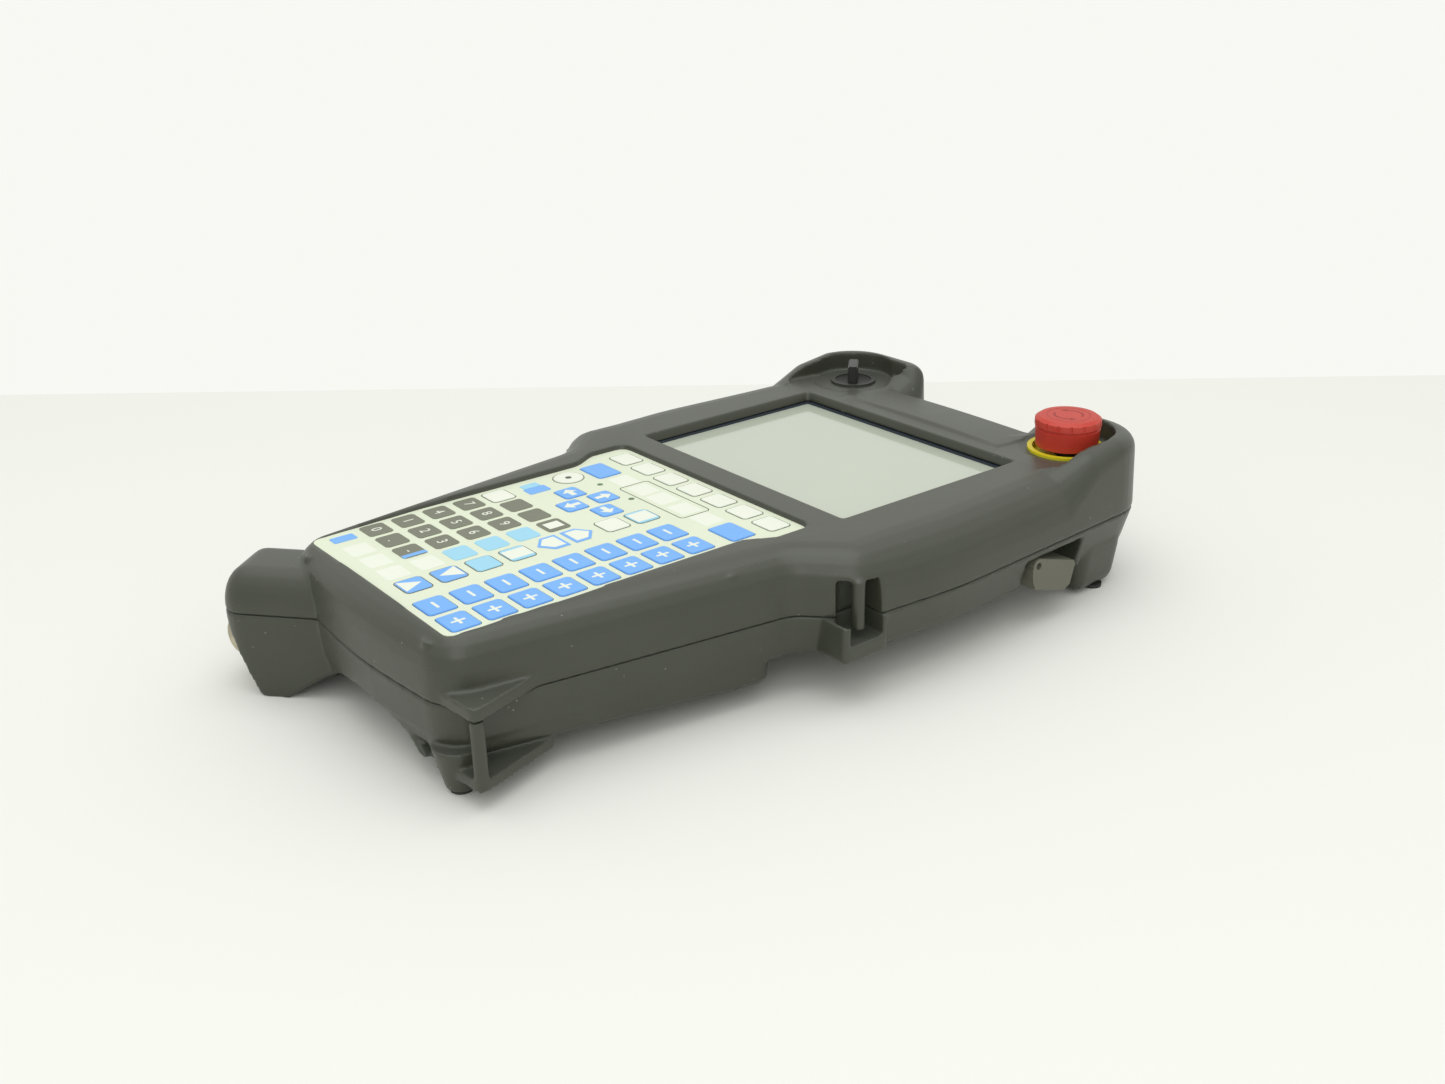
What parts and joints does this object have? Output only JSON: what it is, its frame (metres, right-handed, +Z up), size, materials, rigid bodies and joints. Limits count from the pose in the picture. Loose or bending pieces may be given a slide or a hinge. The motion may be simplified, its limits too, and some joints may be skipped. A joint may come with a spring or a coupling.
{
  "type": "pendant control station",
  "caption": "Hand-held pendant control station with screen, membrane keypad, mushroom stop button, rotary enable switch and squeeze levers underneath.",
  "frame": {"origin": "centre of the bounding box in plan, on the surface the station lies on", "axes": "+Z up out of the screen, +Y from the keypad towards the two ears, +X to the operator's right"},
  "size_m": [0.2084, 0.3602, 0.0742],
  "materials": {
    "housing": "satin",
    "gasket": "matte",
    "film": "matte",
    "board": "satin",
    "steel": "brushed",
    "metal_can": "satin",
    "screen_glass": "gloss",
    "inner_frame": "matte",
    "black_plastic": "satin",
    "lens": "gloss",
    "yellow_plastic": "satin",
    "dark_plastic": "satin",
    "plated_brass": "machined",
    "gold_contact": "satin",
    "rubber": "matte",
    "red_plastic": "satin",
    "lever_plastic": "matte",
    "flap": "matte",
    "blue_key": "matte"
  },
  "bodies": {
    "case": {"front_housing": "housing", "rear_housing": "housing", "case_gasket": "gasket", "keypad_overlay": "film", "keypad_board": "board", "key_domes": "steel", "lcd_module": "metal_can", "touch_panel": "screen_glass", "display_frame": "inner_frame", "main_board": "board", "board_components": "black_plastic", "status_leds": "lens", "estop_collar": "yellow_plastic", "estop_body": "black_plastic", "estop_nut": "steel", "enable_bezel": "dark_plastic", "enable_body": "black_plastic", "enable_nut": "steel", "deadman_pins": "steel", "deadman_switches": "black_plastic", "connector_shell": "plated_brass", "connector_insert": "black_plastic", "connector_contacts": "gold_contact", "connector_nut": "steel", "usb_port": "metal_can", "rubber_feet": "rubber", "case_screws": "steel", "board_screws": "steel"},
    "stop_shaft": {"estop_plunger": "black_plastic"},
    "stop_head": {"estop_head": "red_plastic"},
    "enable_handle": {"enable_lever": "black_plastic"},
    "lever_right": {"deadman_lever_right": "lever_plastic"},
    "lever_left": {"deadman_lever_left": "lever_plastic"},
    "push_right": {"deadman_plunger_right": "dark_plastic"},
    "push_left": {"deadman_plunger_left": "dark_plastic"},
    "port_flap": {"usb_cover": "flap"},
    "key_jog_1_1": {"key_jog_1_1": "blue_key"},
    "key_jog_1_2": {"key_jog_1_2": "blue_key"},
    "key_jog_1_3": {"key_jog_1_3": "blue_key"},
    "key_jog_1_4": {"key_jog_1_4": "blue_key"},
    "key_jog_1_5": {"key_jog_1_5": "blue_key"},
    "key_jog_1_6": {"key_jog_1_6": "blue_key"},
    "key_jog_1_7": {"key_jog_1_7": "blue_key"},
    "key_jog_1_8": {"key_jog_1_8": "blue_key"},
    "key_jog_2_1": {"key_jog_2_1": "blue_key"},
    "key_jog_2_2": {"key_jog_2_2": "blue_key"},
    "key_jog_2_3": {"key_jog_2_3": "blue_key"},
    "key_jog_2_4": {"key_jog_2_4": "blue_key"},
    "key_jog_2_5": {"key_jog_2_5": "blue_key"},
    "key_jog_2_6": {"key_jog_2_6": "blue_key"},
    "key_jog_2_7": {"key_jog_2_7": "blue_key"},
    "key_jog_2_8": {"key_jog_2_8": "blue_key"},
    "key_shift_left": {"key_shift_left": "blue_key"},
    "key_shift_right": {"key_shift_right": "blue_key"},
    "key_arrow_1": {"key_arrow_1": "blue_key"},
    "key_arrow_2": {"key_arrow_2": "blue_key"},
    "key_arrow_3": {"key_arrow_3": "blue_key"},
    "key_arrow_4": {"key_arrow_4": "blue_key"}
  },
  "joints": [
    {"name": "stop_push", "type": "slide", "parent": "case", "child": "stop_shaft", "axis": [0, 0, -1], "range_m": [0, 0.004], "stiffness_N_per_m": 2500, "springref_m": -0.002},
    {"name": "stop_twist", "type": "hinge", "parent": "stop_shaft", "child": "stop_head", "pos_m": [0.0686, 0.15164, 0.066], "axis": [0, 0, 1], "range_deg": [-45, 0], "stiffness_Nm_per_rad": 0.05},
    {"name": "enable_turn", "type": "hinge", "parent": "case", "child": "enable_handle", "pos_m": [-0.0686, 0.15164, 0.058], "axis": [0, 0, 1], "range_deg": [-90, 0]},
    {"name": "lever_right_squeeze", "type": "hinge", "parent": "case", "child": "lever_right", "pos_m": [0.078, 0.09884, 0.028], "axis": [1, 0, 0], "range_deg": [0, 12], "stiffness_Nm_per_rad": 1, "springref_deg": -5.73},
    {"name": "lever_left_squeeze", "type": "hinge", "parent": "case", "child": "lever_left", "pos_m": [-0.078, 0.09884, 0.028], "axis": [1, 0, 0], "range_deg": [0, 12], "stiffness_Nm_per_rad": 1, "springref_deg": -5.73},
    {"name": "push_right_slide", "type": "slide", "parent": "case", "child": "push_right", "axis": [0, 0, 1], "range_m": [0, 0.003]},
    {"name": "push_left_slide", "type": "slide", "parent": "case", "child": "push_left", "axis": [0, 0, 1], "range_m": [0, 0.003]},
    {"name": "port_flap_swing", "type": "hinge", "parent": "case", "child": "port_flap", "pos_m": [-0.0735, -0.08647, 0.0435], "axis": [0, 0, 1], "range_deg": [-3, 100]},
    {"name": "key_jog_1_1_press", "type": "slide", "parent": "case", "child": "key_jog_1_1", "axis": [0, 0, -1], "range_m": [0, 0.0004], "stiffness_N_per_m": 1500, "springref_m": -0.0002},
    {"name": "key_jog_1_2_press", "type": "slide", "parent": "case", "child": "key_jog_1_2", "axis": [0, 0, -1], "range_m": [0, 0.0004], "stiffness_N_per_m": 1500, "springref_m": -0.0002},
    {"name": "key_jog_1_3_press", "type": "slide", "parent": "case", "child": "key_jog_1_3", "axis": [0, 0, -1], "range_m": [0, 0.0004], "stiffness_N_per_m": 1500, "springref_m": -0.0002},
    {"name": "key_jog_1_4_press", "type": "slide", "parent": "case", "child": "key_jog_1_4", "axis": [0, 0, -1], "range_m": [0, 0.0004], "stiffness_N_per_m": 1500, "springref_m": -0.0002},
    {"name": "key_jog_1_5_press", "type": "slide", "parent": "case", "child": "key_jog_1_5", "axis": [0, 0, -1], "range_m": [0, 0.0004], "stiffness_N_per_m": 1500, "springref_m": -0.0002},
    {"name": "key_jog_1_6_press", "type": "slide", "parent": "case", "child": "key_jog_1_6", "axis": [0, 0, -1], "range_m": [0, 0.0004], "stiffness_N_per_m": 1500, "springref_m": -0.0002},
    {"name": "key_jog_1_7_press", "type": "slide", "parent": "case", "child": "key_jog_1_7", "axis": [0, 0, -1], "range_m": [0, 0.0004], "stiffness_N_per_m": 1500, "springref_m": -0.0002},
    {"name": "key_jog_1_8_press", "type": "slide", "parent": "case", "child": "key_jog_1_8", "axis": [0, 0, -1], "range_m": [0, 0.0004], "stiffness_N_per_m": 1500, "springref_m": -0.0002},
    {"name": "key_jog_2_1_press", "type": "slide", "parent": "case", "child": "key_jog_2_1", "axis": [0, 0, -1], "range_m": [0, 0.0004], "stiffness_N_per_m": 1500, "springref_m": -0.0002},
    {"name": "key_jog_2_2_press", "type": "slide", "parent": "case", "child": "key_jog_2_2", "axis": [0, 0, -1], "range_m": [0, 0.0004], "stiffness_N_per_m": 1500, "springref_m": -0.0002},
    {"name": "key_jog_2_3_press", "type": "slide", "parent": "case", "child": "key_jog_2_3", "axis": [0, 0, -1], "range_m": [0, 0.0004], "stiffness_N_per_m": 1500, "springref_m": -0.0002},
    {"name": "key_jog_2_4_press", "type": "slide", "parent": "case", "child": "key_jog_2_4", "axis": [0, 0, -1], "range_m": [0, 0.0004], "stiffness_N_per_m": 1500, "springref_m": -0.0002},
    {"name": "key_jog_2_5_press", "type": "slide", "parent": "case", "child": "key_jog_2_5", "axis": [0, 0, -1], "range_m": [0, 0.0004], "stiffness_N_per_m": 1500, "springref_m": -0.0002},
    {"name": "key_jog_2_6_press", "type": "slide", "parent": "case", "child": "key_jog_2_6", "axis": [0, 0, -1], "range_m": [0, 0.0004], "stiffness_N_per_m": 1500, "springref_m": -0.0002},
    {"name": "key_jog_2_7_press", "type": "slide", "parent": "case", "child": "key_jog_2_7", "axis": [0, 0, -1], "range_m": [0, 0.0004], "stiffness_N_per_m": 1500, "springref_m": -0.0002},
    {"name": "key_jog_2_8_press", "type": "slide", "parent": "case", "child": "key_jog_2_8", "axis": [0, 0, -1], "range_m": [0, 0.0004], "stiffness_N_per_m": 1500, "springref_m": -0.0002},
    {"name": "key_shift_left_press", "type": "slide", "parent": "case", "child": "key_shift_left", "axis": [0, 0, -1], "range_m": [0, 0.0004], "stiffness_N_per_m": 1500, "springref_m": -0.0002},
    {"name": "key_shift_right_press", "type": "slide", "parent": "case", "child": "key_shift_right", "axis": [0, 0, -1], "range_m": [0, 0.0004], "stiffness_N_per_m": 1500, "springref_m": -0.0002},
    {"name": "key_arrow_1_press", "type": "slide", "parent": "case", "child": "key_arrow_1", "axis": [0, 0, -1], "range_m": [0, 0.0004], "stiffness_N_per_m": 1500, "springref_m": -0.0002},
    {"name": "key_arrow_2_press", "type": "slide", "parent": "case", "child": "key_arrow_2", "axis": [0, 0, -1], "range_m": [0, 0.0004], "stiffness_N_per_m": 1500, "springref_m": -0.0002},
    {"name": "key_arrow_3_press", "type": "slide", "parent": "case", "child": "key_arrow_3", "axis": [0, 0, -1], "range_m": [0, 0.0004], "stiffness_N_per_m": 1500, "springref_m": -0.0002},
    {"name": "key_arrow_4_press", "type": "slide", "parent": "case", "child": "key_arrow_4", "axis": [0, 0, -1], "range_m": [0, 0.0004], "stiffness_N_per_m": 1500, "springref_m": -0.0002}
  ],
  "couplings": [
    {"joint": "push_right_slide", "follows": "lever_right_squeeze", "m_per_rad": 0.01394},
    {"joint": "push_left_slide", "follows": "lever_left_squeeze", "m_per_rad": 0.01394}
  ]
}
